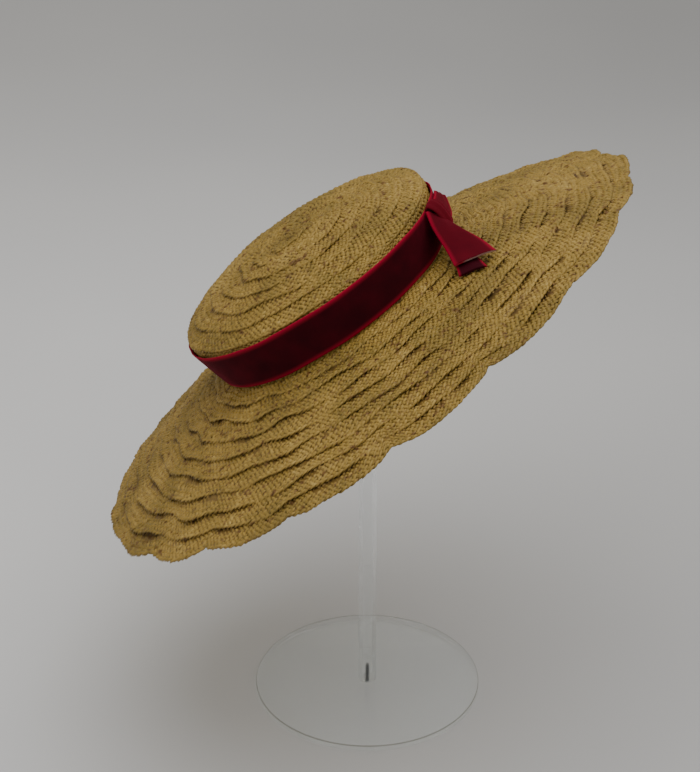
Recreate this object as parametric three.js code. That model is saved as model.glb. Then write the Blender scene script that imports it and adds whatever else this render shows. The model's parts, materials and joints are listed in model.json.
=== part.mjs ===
// A straw hat of sewn braid with a velvet ribbon and bow, tilted on a clear acrylic hat stand.
// Millimetres, +Z up. The origin is the centre of the stand's underside, on the rod's axis.
import * as THREE from 'three';

const degrees = THREE.MathUtils.degToRad;

// Clearances
const seatGap = 0.3;
const studGap = 0.3;
const plateGap = 0.6;

// Stand
const baseRadius = 76.2;
const baseThickness = 5;
const rodRadius = 6;
const studRadius = 1.1;
const studInRod = 12;
const studInBase = 2.5;
const plateRadius = 27;
const plateThickness = 4;
const plateHeight = 364.1;
const baseSides = 48;
const rodSides = 16;
const studSides = 12;
const plateSides = 32;

// How the hat sits: it leans towards -X and is turned a little about the rod
const hatLean = 35.4;
const hatTurn = -10.3;
const seatAlong = 55;
const seatAcross = 5.2;

// Crown, an oval whose long way is local X and whose high side is local +X
const strawWall = 2.5;
const rowRelief = 0.6;
const crownFoot = { along: 83.9, across: 81.6 };
const crownRim = { along: 93.7, across: 82.4 };
const crownHeight = 36.5;
const crownRise = 5.5;
const domeRise = 17.1;
const domePower = 2.17;
const rimRound = 2.5;
const tipRows = 7;
const sideRows = 3;
const crownSides = 64;

// Brim
const brimEdge = { along: 200.9, across: 202.1 };
const brimDroop = 35.5;
const droopPower = 1.2;
const brimRows = 9;
const scallopReach = 0.01;
const scallopPower = 0.7;
const scallopStart = 0.6;
const sidesPerScallop = 5;

// Waves of the brim's droop: turns round the hat, and cosine and sine shares of the droop
const droopWaves = [
  { turns: 1, cosine: -0.067, sine: 0.13 },
  { turns: 2, cosine: -0.085, sine: 0.041 },
];

// Notches between the scallops: place round the brim in degrees, depth as a share of its width
const notches = [
  { at: -168, depth: 0.025 },
  { at: -150, depth: 0.025 },
  { at: -132, depth: 0.04 },
  { at: -114, depth: 0.05 },
  { at: -94, depth: 0.04 },
  { at: -72, depth: 0.08 },
  { at: -50, depth: 0.09 },
  { at: -28, depth: 0.04 },
  { at: -6, depth: 0.04 },
  { at: 10, depth: 0.03 },
  { at: 34, depth: 0.075 },
  { at: 54, depth: 0.04 },
  { at: 74, depth: 0.03 },
  { at: 94, depth: 0.05 },
  { at: 113, depth: 0.035 },
  { at: 132, depth: 0.045 },
  { at: 152, depth: 0.03 },
  { at: 172, depth: 0.035 },
];

// Ribbon and bow
const ribbonWidth = 30;
const ribbonThickness = 1.2;
const bandFoot = 0.8;
const knotAt = -6.5;
const knotLength = 9;
const tailSteps = 9;
const loopSteps = 18;

// Ribbon tables: angle round the crown in degrees, then out from the band and up from the brim
// as shares of the ribbon's width, for the ribbon's top edge and its low edge
const upperTailRows = [
  { topAt: -10, topOut: 0.06, topUp: 1.04, lowAt: -9.8, lowOut: 0.47, lowUp: 0.52 },
  { topAt: -16.5, topOut: 0.2, topUp: 0.75, lowAt: -11.8, lowOut: 0.78, lowUp: 0.44 },
  { topAt: -22.5, topOut: 0.53, topUp: 0.43, lowAt: -15, lowOut: 1.17, lowUp: 0.3 },
  { topAt: -27, topOut: 0.88, topUp: 0.22, lowAt: -18.8, lowOut: 1.57, lowUp: 0.17 },
];
const lowerTailRows = [
  { topAt: -10, topOut: 0.06, topUp: 0.64, lowAt: -9.8, lowOut: 0.3, lowUp: 0.34 },
  { topAt: -19, topOut: 0.28, topUp: 0.42, lowAt: -13, lowOut: 0.62, lowUp: 0.23 },
  { topAt: -25, topOut: 0.62, topUp: 0.2, lowAt: -18.5, lowOut: 1.04, lowUp: 0.12 },
  { topAt: -30, topOut: 1.01, topUp: 0.08, lowAt: -24, lowOut: 1.52, lowUp: 0.07 },
];
const farLoopRows = [
  { topAt: -3, topOut: 0.09, topUp: 0.97, lowAt: -2, lowOut: 0.27, lowUp: 0.45 },
  { topAt: 4, topOut: 0.085, topUp: 0.94, lowAt: 10, lowOut: 0.22, lowUp: 0.37 },
  { topAt: 11, topOut: 0.085, topUp: 0.9, lowAt: 19, lowOut: 0.22, lowUp: 0.38 },
  { topAt: 16.5, topOut: 0.08, topUp: 0.86, lowAt: 27, lowOut: 0.26, lowUp: 0.53 },
  { topAt: 17.5, topOut: 0.055, topUp: 0.85, lowAt: 27.5, lowOut: 0.21, lowUp: 0.54 },
  { topAt: 14, topOut: 0.035, topUp: 0.87, lowAt: 22, lowOut: 0.13, lowUp: 0.44 },
  { topAt: 6, topOut: 0.03, topUp: 0.9, lowAt: 11, lowOut: 0.1, lowUp: 0.4 },
  { topAt: -3, topOut: 0.03, topUp: 0.92, lowAt: -3, lowOut: 0.14, lowUp: 0.48 },
];

// Section of the knot, out and up in ribbon widths as above
const knotSection = [
  { out: 0.02, up: 1.06 },
  { out: 0.11, up: 1.1 },
  { out: 0.26, up: 0.94 },
  { out: 0.4, up: 0.64 },
  { out: 0.39, up: 0.46 },
  { out: 0.24, up: 0.36 },
  { out: 0.02, up: 0.38 },
];

// Size of the knot's section along its length, from one side of the wrap to the other
const knotRings = [
  { way: -1, size: 0.84 },
  { way: -0.6, size: 1 },
  { way: 0.6, size: 1 },
  { way: 1, size: 0.84 },
];

const strawMaterial = new THREE.MeshStandardMaterial({ color: '#c9b077', roughness: 0.75 });
const velvetMaterial = new THREE.MeshStandardMaterial({ color: '#7c1230', roughness: 0.9 });
const acrylicMaterial = new THREE.MeshStandardMaterial({
  color: '#eef3f4',
  roughness: 0.05,
  transparent: true,
  opacity: 0.35,
});
const steelMaterial = new THREE.MeshStandardMaterial({
  color: '#5a5c5e',
  roughness: 0.4,
  metalness: 1,
});

const mix = THREE.MathUtils.lerp;

function mixRadii(inner, outer, share, inset = 0) {
  return {
    along: mix(inner.along, outer.along, share) - inset,
    across: mix(inner.across, outer.across, share) - inset,
  };
}

function ovalPoint(radii, angle, height) {
  return new THREE.Vector3(radii.along * Math.cos(angle), radii.across * Math.sin(angle), height);
}

function evenAngles(count) {
  return Array.from({ length: count }, (_, i) => (2 * Math.PI * i) / count);
}

// Six times the volume that the triangles enclose, below zero where they face inwards
function signedVolume(points, faces) {
  let sum = 0;
  for (const [a, b, c] of faces) {
    sum += points[a].dot(new THREE.Vector3().crossVectors(points[b], points[c]));
  }
  return sum;
}

// A closed solid through rings of points: the last ring joins the first, or flat fans close both ends
function loft(rings, closed) {
  const count = rings[0].length;
  const points = rings.flat();
  const faces = [];
  const last = closed ? rings.length : rings.length - 1;
  for (let i = 0; i < last; i += 1) {
    const here = i * count;
    const next = ((i + 1) % rings.length) * count;
    for (let j = 0; j < count; j += 1) {
      const k = (j + 1) % count;
      faces.push([here + j, here + k, next + k]);
      faces.push([here + j, next + k, next + j]);
    }
  }
  if (!closed) {
    const lastStart = (rings.length - 1) * count;
    const ends = [0, lastStart].map((start) => {
      const middle = new THREE.Vector3();
      points.slice(start, start + count).forEach((point) => middle.add(point));
      return points.push(middle.divideScalar(count)) - 1;
    });
    for (let j = 0; j < count; j += 1) {
      const k = (j + 1) % count;
      faces.push([ends[0], k, j]);
      faces.push([ends[1], lastStart + j, lastStart + k]);
    }
  }
  const outward = signedVolume(points, faces) > 0;
  const geometry = new THREE.BufferGeometry();
  geometry.setAttribute(
    'position',
    new THREE.Float32BufferAttribute(points.flatMap((point) => point.toArray()), 3),
  );
  geometry.setIndex(faces.flatMap(([a, b, c]) => (outward ? [a, b, c] : [a, c, b])));
  return geometry;
}

function named(name, geometry, material) {
  const mesh = new THREE.Mesh(geometry, material);
  mesh.name = name;
  return mesh;
}

// Crown: the side at a share of its height, then the tip at a share of its radius
function rimHeight(angle) {
  return crownHeight + crownRise * Math.sin(angle);
}

function crownSidePoint(share, angle, inset = 0) {
  const height = mix(seatGap, rimHeight(angle), share);
  return ovalPoint(mixRadii(crownFoot, crownRim, share, inset), angle, height);
}

function tipHeight(share, angle) {
  const tilt = crownRise * share * Math.sin(angle);
  return crownHeight + tilt + domeRise * (1 - share ** domePower);
}

function crownTipPoint(share, angle, inset = 0) {
  const radii = mixRadii({ along: 0, across: 0 }, mixRadii(crownRim, crownRim, 1, inset), share);
  return ovalPoint(radii, angle, tipHeight(share, angle) - inset);
}

// The side's wall ends under the tip's rim, a seam apart
function makeCrownTip() {
  const angles = evenAngles(crownSides);
  const tipEdge = 1 - rimRound / crownRim.along;
  const sideEdge = 1 - rimRound / crownHeight;
  const rings = [];
  const outerTip = (share, relief) =>
    rings.push(angles.map((angle) => crownTipPoint(share, angle).setZ(tipHeight(share, angle) - relief)));

  for (let row = 0; row < tipRows; row += 1) {
    outerTip((tipEdge * (row + 0.5)) / tipRows, 0);
    outerTip((tipEdge * (row + 1)) / tipRows, row + 1 < tipRows ? rowRelief : 0);
  }
  for (const inset of [0, strawWall]) {
    rings.push(angles.map((angle) => crownSidePoint(sideEdge, angle, inset)));
  }
  for (const share of [tipEdge, 0.8, 0.6, 0.4, 0.2, 0.07]) {
    rings.push(angles.map((angle) => crownTipPoint(share, angle, strawWall)));
  }
  return named('crown_tip', loft(rings, false), strawMaterial);
}

function makeCrownSide() {
  const angles = evenAngles(crownSides);
  const top = 1 - (rimRound + seatGap) / crownHeight;
  const rings = [];
  const side = (share, inset) => rings.push(angles.map((angle) => crownSidePoint(share, angle, inset)));

  for (let row = sideRows; row > 0; row -= 1) {
    side((top * row) / sideRows, row < sideRows ? rowRelief : 0);
    side((top * (row - 0.5)) / sideRows, 0);
  }
  side(0, 0);
  for (const share of [0, 0.5, top]) {
    side(share, strawWall);
  }
  return named('crown_side', loft(rings, true), strawMaterial);
}

// Brim: the edge is scalloped, and the droop waves round the hat
function notchBefore(angle) {
  const turn = (2 * Math.PI + (angle - degrees(notches[0].at))) % (2 * Math.PI);
  const index = notches.findLastIndex((notch) => degrees(notch.at - notches[0].at) <= turn + 1e-9);
  const next = notches[(index + 1) % notches.length];
  const start = degrees(notches[index].at - notches[0].at);
  const end = index + 1 < notches.length ? degrees(next.at - notches[0].at) : 2 * Math.PI;
  const way = THREE.MathUtils.clamp((turn - start) / (end - start), 0, 1);
  return { here: notches[index], next, way };
}

function edgeShare(angle) {
  const { here, next, way } = notchBefore(angle);
  const depth = mix(here.depth, next.depth, way);
  return 1 + scallopReach - depth * (1 - Math.abs(Math.sin(Math.PI * way)) ** scallopPower);
}

function droopAt(share, angle) {
  const waves = droopWaves.map(({ turns, cosine, sine }) =>
    cosine * Math.cos(turns * angle) + sine * Math.sin(turns * angle));
  return brimDroop * share ** droopPower * (1 + waves[0] + waves[1]);
}

function brimPoint(share, angle, drop = 0) {
  const follow = THREE.MathUtils.smoothstep(share, scallopStart, 1);
  const reach = share * mix(1, edgeShare(angle), follow);
  return ovalPoint(mixRadii(crownFoot, brimEdge, reach), angle, -droopAt(reach, angle) - drop);
}

function brimAngles() {
  return notches.flatMap((notch, i) => {
    const next = i + 1 < notches.length ? notches[i + 1].at : notches[0].at + 360;
    return Array.from({ length: sidesPerScallop }, (_, step) =>
      degrees(mix(notch.at, next, step / sidesPerScallop)));
  });
}

function makeBrim() {
  const angles = brimAngles();
  const headEdge = (drop) =>
    angles.map((angle) => ovalPoint(mixRadii(crownFoot, crownFoot, 1, strawWall), angle, -drop));
  const rings = [headEdge(0), angles.map((angle) => brimPoint(0, angle))];
  for (let row = 0; row < brimRows; row += 1) {
    rings.push(angles.map((angle) => brimPoint((row + 0.5) / brimRows, angle)));
    const relief = row + 1 < brimRows ? rowRelief : 0;
    rings.push(angles.map((angle) => brimPoint((row + 1) / brimRows, angle, relief)));
  }
  for (let row = brimRows; row > 0; row -= 1) {
    rings.push(angles.map((angle) => brimPoint(row / brimRows, angle, strawWall)));
  }
  rings.push(headEdge(strawWall));
  return named('brim', loft(rings, true), strawMaterial);
}

// Ribbon round the crown: its inner and outer faces follow the crown's side
function bandFace(height, angle, off) {
  const share = (height - seatGap) / (rimHeight(angle) - seatGap);
  return mixRadii(crownFoot, crownRim, share, -seatGap - off);
}

function makeBand() {
  const angles = evenAngles(crownSides);
  const ring = (height, off) => angles.map((angle) => ovalPoint(bandFace(height, angle, off), angle, height));
  const top = bandFoot + ribbonWidth;
  const middle = bandFoot + ribbonWidth / 2;
  const rings = [
    ring(bandFoot, 0),
    ring(middle, 0),
    ring(top, 0),
    ring(top, ribbonThickness * 0.6),
    ring(middle, ribbonThickness),
    ring(bandFoot, ribbonThickness * 0.6),
  ];
  return named('hat_band', loft(rings, true), velvetMaterial);
}

// A point outside the band: out from the band's face and up from the brim, in ribbon widths
function ribbonPoint(at, out, up) {
  const angle = degrees(at);
  const face = bandFace(up * ribbonWidth, angle, ribbonThickness + out * ribbonWidth);
  const away = Math.hypot(face.along * Math.cos(angle), face.across * Math.sin(angle));
  const foot = mixRadii(crownFoot, crownFoot, 1);
  const footAway = Math.hypot(foot.along * Math.cos(angle), foot.across * Math.sin(angle));
  const edgeAway = Math.hypot(brimEdge.along * Math.cos(angle), brimEdge.across * Math.sin(angle));
  const share = Math.max(0, (away - footAway) / (edgeAway - footAway));
  return ovalPoint(face, angle, up * ribbonWidth - droopAt(share, angle));
}

// A strip of ribbon through the rows of a table, thick about the middle of its face
function ribbonStrip(rows, steps) {
  const topEdge = new THREE.CatmullRomCurve3(rows.map((row) => ribbonPoint(row.topAt, row.topOut, row.topUp)));
  const lowEdge = new THREE.CatmullRomCurve3(rows.map((row) => ribbonPoint(row.lowAt, row.lowOut, row.lowUp)));
  const rings = [];
  for (let step = 0; step <= steps; step += 1) {
    const way = step / steps;
    const top = topEdge.getPoint(way);
    const low = lowEdge.getPoint(way);
    const ahead = topEdge.getTangent(way).add(lowEdge.getTangent(way));
    const across = new THREE.Vector3().subVectors(low, top);
    const half = ahead.cross(across).setLength(ribbonThickness / 2);
    rings.push([
      top.clone().add(half),
      low.clone().add(half),
      low.clone().sub(half),
      top.clone().sub(half),
    ]);
  }
  return loft(rings, false);
}

// The knot: a short wrap whose section stands on the band and leans out over the brim
function makeKnot() {
  const halfAngle = THREE.MathUtils.radToDeg(knotLength / 2 / crownRim.along);
  const inner = knotSection[0].out;
  const middle = (knotSection[1].up + knotSection[5].up) / 2;
  const rings = knotRings.map(({ way, size }) => knotSection.map(({ out, up }) =>
    ribbonPoint(knotAt + way * halfAngle, mix(inner, out, size), mix(middle, up, size))));
  return named('bow_knot', loft(rings, false), velvetMaterial);
}

function makeBow() {
  return [
    makeKnot(),
    named('bow_upper_tail', ribbonStrip(upperTailRows, tailSteps), velvetMaterial),
    named('bow_lower_tail', ribbonStrip(lowerTailRows, tailSteps), velvetMaterial),
    named('bow_far_loop', ribbonStrip(farLoopRows, loopSteps), velvetMaterial),
  ];
}

// Height of the inside of the tip over a point of the crown's base
function innerTipHeight(along, across) {
  const inner = mixRadii(crownRim, crownRim, 1, strawWall);
  const share = Math.hypot(along / inner.along, across / inner.across);
  const angle = Math.atan2(across / inner.across, along / inner.along);
  return tipHeight(share, angle) - strawWall;
}

// The plate lies under the tip, as steep as the tip is there, and its rim comes nearest the straw
function plateSeat() {
  const rise = (dx, dy) =>
    (innerTipHeight(seatAlong + dx, seatAcross + dy) - innerTipHeight(seatAlong - dx, seatAcross - dy)) /
    (2 * plateRadius);
  const slopeAlong = rise(plateRadius, 0);
  const slopeAcross = rise(0, plateRadius);
  const normal = new THREE.Vector3(-slopeAlong, -slopeAcross, 1).normalize();
  const room = evenAngles(plateSides).map((angle) => {
    const dx = plateRadius * normal.z * Math.cos(angle);
    const dy = plateRadius * Math.sin(angle);
    return innerTipHeight(seatAlong + dx, seatAcross + dy) - slopeAlong * dx - slopeAcross * dy;
  });
  const middle = new THREE.Vector3(seatAlong, seatAcross, Math.min(...room) - plateGap);
  return { middle, normal };
}

// A solid turned about +Z from a half profile of [radius, height] that starts and ends on the axis
function turned(profile, sides) {
  const outline = profile.map(([radius, height]) => new THREE.Vector2(radius, height));
  return new THREE.LatheGeometry(outline, sides).rotateX(Math.PI / 2);
}

function makeBase() {
  const hole = studRadius + studGap;
  const holeFloor = baseThickness - studInBase - studGap;
  const profile = [
    [0, 0],
    [baseRadius, 0],
    [baseRadius, baseThickness],
    [hole, baseThickness],
    [hole, holeFloor],
    [0, holeFloor],
  ];
  return named('stand_base', turned(profile, baseSides), acrylicMaterial);
}

// The rod's top is cut to the slant of the plate that it carries
function makeRod(seat) {
  const hole = studRadius + studGap;
  const holeTop = baseThickness + studInRod + studGap;
  const profile = [
    [0, holeTop],
    [hole, holeTop],
    [hole, baseThickness],
    [rodRadius, baseThickness],
    [rodRadius, plateHeight],
    [0, plateHeight],
  ];
  const geometry = turned(profile, rodSides);
  const position = geometry.getAttribute('position');
  const below = seat.normal.clone().multiplyScalar(-plateThickness - seatGap);
  for (let i = 0; i < position.count; i += 1) {
    if (Math.abs(position.getZ(i) - plateHeight) < seatGap) {
      const dx = position.getX(i) - below.x;
      const dy = position.getY(i) - below.y;
      const slope = (seat.normal.x * dx + seat.normal.y * dy) / seat.normal.z;
      position.setZ(i, plateHeight + below.z - slope);
    }
  }
  return named('stand_rod', geometry, acrylicMaterial);
}

function makeStud() {
  const low = baseThickness - studInBase;
  const high = baseThickness + studInRod;
  const profile = [
    [0, low],
    [studRadius, low],
    [studRadius, high],
    [0, high],
  ];
  return named('stand_stud', turned(profile, studSides), steelMaterial);
}

function makePlate(seat) {
  const profile = [
    [0, -plateThickness],
    [plateRadius, -plateThickness],
    [plateRadius, 0],
    [0, 0],
  ];
  const plate = named('stand_plate', turned(profile, plateSides), acrylicMaterial);
  plate.quaternion.setFromUnitVectors(new THREE.Vector3(0, 0, 1), seat.normal);
  plate.position.set(0, 0, plateHeight);
  return plate;
}

// The hat is turned, then moved so that its seat comes to the plate on the rod's axis
const hatTurned = new THREE.Euler(0, -degrees(hatLean), degrees(hatTurn), 'ZYX');
const seatInHat = plateSeat();
const seat = { normal: seatInHat.normal.clone().applyEuler(hatTurned) };

const hat = new THREE.Group();
hat.rotation.copy(hatTurned);
hat.position.set(0, 0, plateHeight).sub(seatInHat.middle.clone().applyEuler(hatTurned));
hat.add(makeCrownTip(), makeCrownSide(), makeBrim(), makeBand(), ...makeBow());

const group = new THREE.Group();
group.add(hat, makeBase(), makeRod(seat), makeStud(), makePlate(seat));

export default group;
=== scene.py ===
# A straw sun hat of sewn plait with a velvet ribbon, tilted on a clear acrylic stand
import json
import math

import bmesh
import bpy
import numpy as np
from mathutils import Matrix, Vector

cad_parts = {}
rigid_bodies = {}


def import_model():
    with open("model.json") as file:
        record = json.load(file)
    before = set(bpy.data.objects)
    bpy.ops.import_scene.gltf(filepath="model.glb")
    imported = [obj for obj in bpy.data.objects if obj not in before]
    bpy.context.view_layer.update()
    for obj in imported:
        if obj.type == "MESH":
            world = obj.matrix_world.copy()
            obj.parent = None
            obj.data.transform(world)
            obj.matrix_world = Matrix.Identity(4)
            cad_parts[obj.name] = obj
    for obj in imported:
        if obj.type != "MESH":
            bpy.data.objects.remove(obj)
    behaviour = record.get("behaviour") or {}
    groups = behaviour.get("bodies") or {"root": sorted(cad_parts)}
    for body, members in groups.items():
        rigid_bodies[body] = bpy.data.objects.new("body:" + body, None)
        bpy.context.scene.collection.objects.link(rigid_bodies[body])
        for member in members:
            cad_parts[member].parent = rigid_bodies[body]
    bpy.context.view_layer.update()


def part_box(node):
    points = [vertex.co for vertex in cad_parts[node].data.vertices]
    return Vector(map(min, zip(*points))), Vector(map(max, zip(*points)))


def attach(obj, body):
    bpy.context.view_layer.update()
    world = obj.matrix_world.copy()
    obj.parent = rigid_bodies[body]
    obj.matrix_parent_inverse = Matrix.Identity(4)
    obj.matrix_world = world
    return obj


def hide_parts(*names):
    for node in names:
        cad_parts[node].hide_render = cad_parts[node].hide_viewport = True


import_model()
mm = 0.001  # sizes below are millimetres, Blender's are metres


# Camera

viewFrom = {
    "pitchDeg": 30.07,  # above the table's level
    "distance": 1804,
    "aimX": -11.8,
    "aimZ": 236,
    "focalPixels": 2800,
    "longSidePixels": 772,
    "sensorWidth": 36,
}


def makeCamera():
    data = bpy.data.cameras.new("photoCamera")
    data.sensor_width = viewFrom["sensorWidth"]
    data.lens = viewFrom["focalPixels"] / viewFrom["longSidePixels"] * viewFrom["sensorWidth"]
    camera = bpy.data.objects.new("photoCamera", data)
    bpy.context.scene.collection.objects.link(camera)
    pitch = math.radians(viewFrom["pitchDeg"])
    back = Vector((0, -math.cos(pitch), math.sin(pitch)))
    aim = Vector((viewFrom["aimX"], 0, viewFrom["aimZ"]))
    camera.location = (aim + back * viewFrom["distance"]) * mm
    camera.rotation_euler = (math.pi / 2 - pitch, 0, 0)
    bpy.context.scene.camera = camera


def clearScene():
    for old in list(bpy.data.objects):
        if old.name in ("Cube", "Light", "Camera"):
            bpy.data.objects.remove(old)


clearScene()
makeCamera()
print("camera set")


# Small helpers

def toLinear(hexColour):
    channels = [int(hexColour[i : i + 2], 16) / 255 for i in (1, 3, 5)]
    linear = [c / 12.92 if c <= 0.04045 else ((c + 0.055) / 1.055) ** 2.4 for c in channels]
    return (*linear, 1)


def addNode(tree, kind, settings=None, links=None):
    node = tree.nodes.new("ShaderNode" + kind)
    for name, value in (settings or {}).items():
        setattr(node, name, value)
    for name, value in (links or {}).items():
        if isinstance(value, bpy.types.NodeSocket):
            tree.links.new(value, node.inputs[name])
        else:
            node.inputs[name].default_value = value
    return node


def newMaterial(name):
    material = bpy.data.materials.new(name)
    material.use_nodes = True
    material.node_tree.nodes.clear()
    return material, material.node_tree


def finishMaterial(tree, shader):
    addNode(tree, "OutputMaterial", links={"Surface": shader.outputs[0]})


def ramp(tree, factor, stops):
    node = addNode(tree, "ValToRGB", links={"Fac": factor})
    elements = node.color_ramp.elements
    elements[0].position, elements[0].color = stops[0][0], toLinear(stops[0][1])
    elements[1].position, elements[1].color = stops[-1][0], toLinear(stops[-1][1])
    for place, colour in stops[1:-1]:
        elements.new(place).color = toLinear(colour)
    return node.outputs["Color"]


def objectFrom(bm, name, materials, smooth=True):
    mesh = bpy.data.meshes.new(name)
    bm.to_mesh(mesh)
    bm.free()
    for material in materials:
        mesh.materials.append(material)
    if smooth:
        mesh.shade_smooth()
    piece = bpy.data.objects.new(name, mesh)
    bpy.context.scene.collection.objects.link(piece)
    return piece


# An open tube of radius 1 along +Z
def makeTube(name, sides, steps, length):
    bm = bmesh.new()
    bmesh.ops.create_circle(bm, segments=sides, radius=1)
    edges = bm.edges[:]
    for _ in range(steps):
        made = bmesh.ops.extrude_edge_only(bm, edges=edges)["geom"]
        edges = [part for part in made if isinstance(part, bmesh.types.BMEdge)]
        corners = [part for part in made if isinstance(part, bmesh.types.BMVert)]
        bmesh.ops.translate(bm, verts=corners, vec=(0, 0, length / steps))

    # extrude hands its parts back in any order, so they are put in order along and round
    def place(part):
        corners = [part] if isinstance(part, bmesh.types.BMVert) else part.verts
        middle = sum((corner.co for corner in corners), Vector()) / len(corners)
        return middle.z * steps / length * 10 + math.atan2(middle.y, middle.x)

    for parts in (bm.verts, bm.edges, bm.faces):
        parts.sort(key=place)
    bmesh.ops.recalc_face_normals(bm, faces=bm.faces[:])
    return objectFrom(bm, name, [])


def setAttribute(mesh, name, values):
    values = np.asarray(values, np.float32)
    kind, key = ("FLOAT", "value") if values.ndim == 1 else ("FLOAT_VECTOR", "vector")
    mesh.attributes.new(name, kind, "POINT").data.foreach_set(key, values.ravel())


def readPoints(mesh):
    points = np.empty(len(mesh.vertices) * 3)
    mesh.vertices.foreach_get("co", points)
    return points.reshape(-1, 3)


def writePoints(mesh, points):
    mesh.vertices.foreach_set("co", points.astype(np.float32).ravel())
    mesh.update()


# The hat's own frame: crown foot at its origin, high side along +X, crown up +Z

crownShape = {
    "footAlong": 83.9,
    "footAcross": 81.6,
    "rimAlong": 93.7,
    "rimAcross": 82.4,
    "height": 36.5,
    "rise": 5.5,  # how much higher the rim lies at its far side
    "dome": 17.1,
    "domePower": 2.17,
    "rimRound": 4,  # how far from the rim's corner its bend starts
    "wall": 2.5,
    "centreGap": 0.3,  # rows stay this far from the tip's very centre
    "meanRadius": 88,  # for lengths round the crown
    "ovalShare": 88 / 94,  # the oval's mean radius as a share of its longer one
}
brimShape = {
    "edgeAlong": 200.9,
    "edgeAcross": 202.1,
    "droop": 35.5,
    "droopPower": 1.2,
    "scallopReach": 0.01,
    "scallopPower": 0.7,
    "scallopStart": 0.6,  # share of the way out where the scallops begin to show
}
droopWaves = [(1, -0.067, 0.13), (2, -0.085, 0.041)]  # turns, cosine and sine shares

# Notches between the scallops: degrees round the brim, depth as a share of its width
notches = [
    (-168, 0.025), (-150, 0.025), (-132, 0.04), (-114, 0.05), (-94, 0.04), (-72, 0.08),
    (-50, 0.09), (-28, 0.04), (-6, 0.04), (10, 0.03), (34, 0.045), (54, 0.04),
    (74, 0.03), (94, 0.05), (113, 0.035), (132, 0.045), (152, 0.03), (172, 0.035),
]
hatPose = {"leanDeg": 35.4, "turnDeg": -10.3}


def ovalPoint(along, across, angle, height):
    return np.stack([along * np.cos(angle), across * np.sin(angle), height + 0 * angle], -1)


def rimHeight(angle):
    return crownShape["height"] + crownShape["rise"] * np.sin(angle)


def sidePoint(share, angle):
    c = crownShape
    along = c["footAlong"] + (c["rimAlong"] - c["footAlong"]) * share
    across = c["footAcross"] + (c["rimAcross"] - c["footAcross"]) * share
    return ovalPoint(along, across, angle, rimHeight(angle) * share)


def tipPoint(share, angle):
    c = crownShape
    inside = np.clip(share, 0, None)
    height = c["height"] + c["rise"] * share * np.sin(angle)
    height = height + c["dome"] * (1 - inside ** c["domePower"])
    return ovalPoint(c["rimAlong"] * share, c["rimAcross"] * share, angle, height)


# Down is the way in mm from the tip's centre over the rim to the foot, bent round at the rim
def crownPoint(down, angle):
    c = crownShape
    rim, bend = c["rimAlong"], c["rimRound"]
    tip = tipPoint(np.clip(down, c["centreGap"], rim - bend) / rim, angle)
    side = sidePoint(1 - np.clip(down - rim, bend, c["height"]) / c["height"], angle)
    corner = sidePoint(1 + 0 * angle, angle)
    t = np.clip((down - rim + bend) / (2 * bend), 0, 1)[:, None]
    return (1 - t) ** 2 * tip + 2 * t * (1 - t) * corner + t**2 * side


def edgeShare(angle):
    turn = np.degrees(angle) % 360
    places = np.array([(at - notches[0][0]) for at, _ in notches] + [360.0])
    depths = np.array([depth for _, depth in notches] + [notches[0][1]])
    since = (turn - notches[0][0]) % 360
    index = np.clip(np.searchsorted(places, since, side="right") - 1, 0, len(notches) - 1)
    way = (since - places[index]) / (places[index + 1] - places[index])
    depth = depths[index] * (1 - way) + depths[index + 1] * way
    bulge = np.abs(np.sin(np.pi * way)) ** brimShape["scallopPower"]
    return 1 + brimShape["scallopReach"] - depth * (1 - bulge)


def brimDroop(share, angle):
    waves = sum(c * np.cos(n * angle) + s * np.sin(n * angle) for n, c, s in droopWaves)
    return brimShape["droop"] * np.clip(share, 0, None) ** brimShape["droopPower"] * (1 + waves)


def brimPoint(share, angle):
    b, c = brimShape, crownShape
    start = b["scallopStart"]
    t = np.clip((share - start) / (1 - start), 0, 1)
    follow = t * t * (3 - 2 * t)
    reach = share * (1 + (edgeShare(angle) - 1) * follow)
    along = c["footAlong"] + (b["edgeAlong"] - c["footAlong"]) * reach
    across = c["footAcross"] + (b["edgeAcross"] - c["footAcross"]) * reach
    return ovalPoint(along, across, angle, -brimDroop(reach, angle))


# The hat's place, from its lean and turn, moved so that its brim fills the frame's brim
def hatMatrix():
    turned = Matrix.Rotation(math.radians(hatPose["turnDeg"]), 3, "Z") @ Matrix.Rotation(
        -math.radians(hatPose["leanDeg"]), 3, "Y"
    )
    # points round the edge, each 2 degrees from a notch over the scallop after it
    angles = np.radians(np.concatenate([np.linspace(at, at + 20, 11) for at, _ in notches]))
    edge = brimPoint(np.ones_like(angles), angles)
    foot = brimPoint(np.zeros_like(angles), angles)
    below = np.array([0, 0, -crownShape["wall"]])
    points = np.concatenate([edge, edge + below, foot, foot + below]) @ np.array(turned).T
    low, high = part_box("brim")
    middle = (np.array(low) + np.array(high)) / 2 / mm
    place = middle - (points.min(0) + points.max(0)) / 2
    return Matrix.Translation(Vector(place) * mm) @ turned.to_4x4() @ Matrix.Scale(mm, 4)


hatToWorld = np.array(hatMatrix())


def toWorld(points):
    return points @ hatToWorld[:3, :3].T + hatToWorld[:3, 3]


# Straw plait

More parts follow.
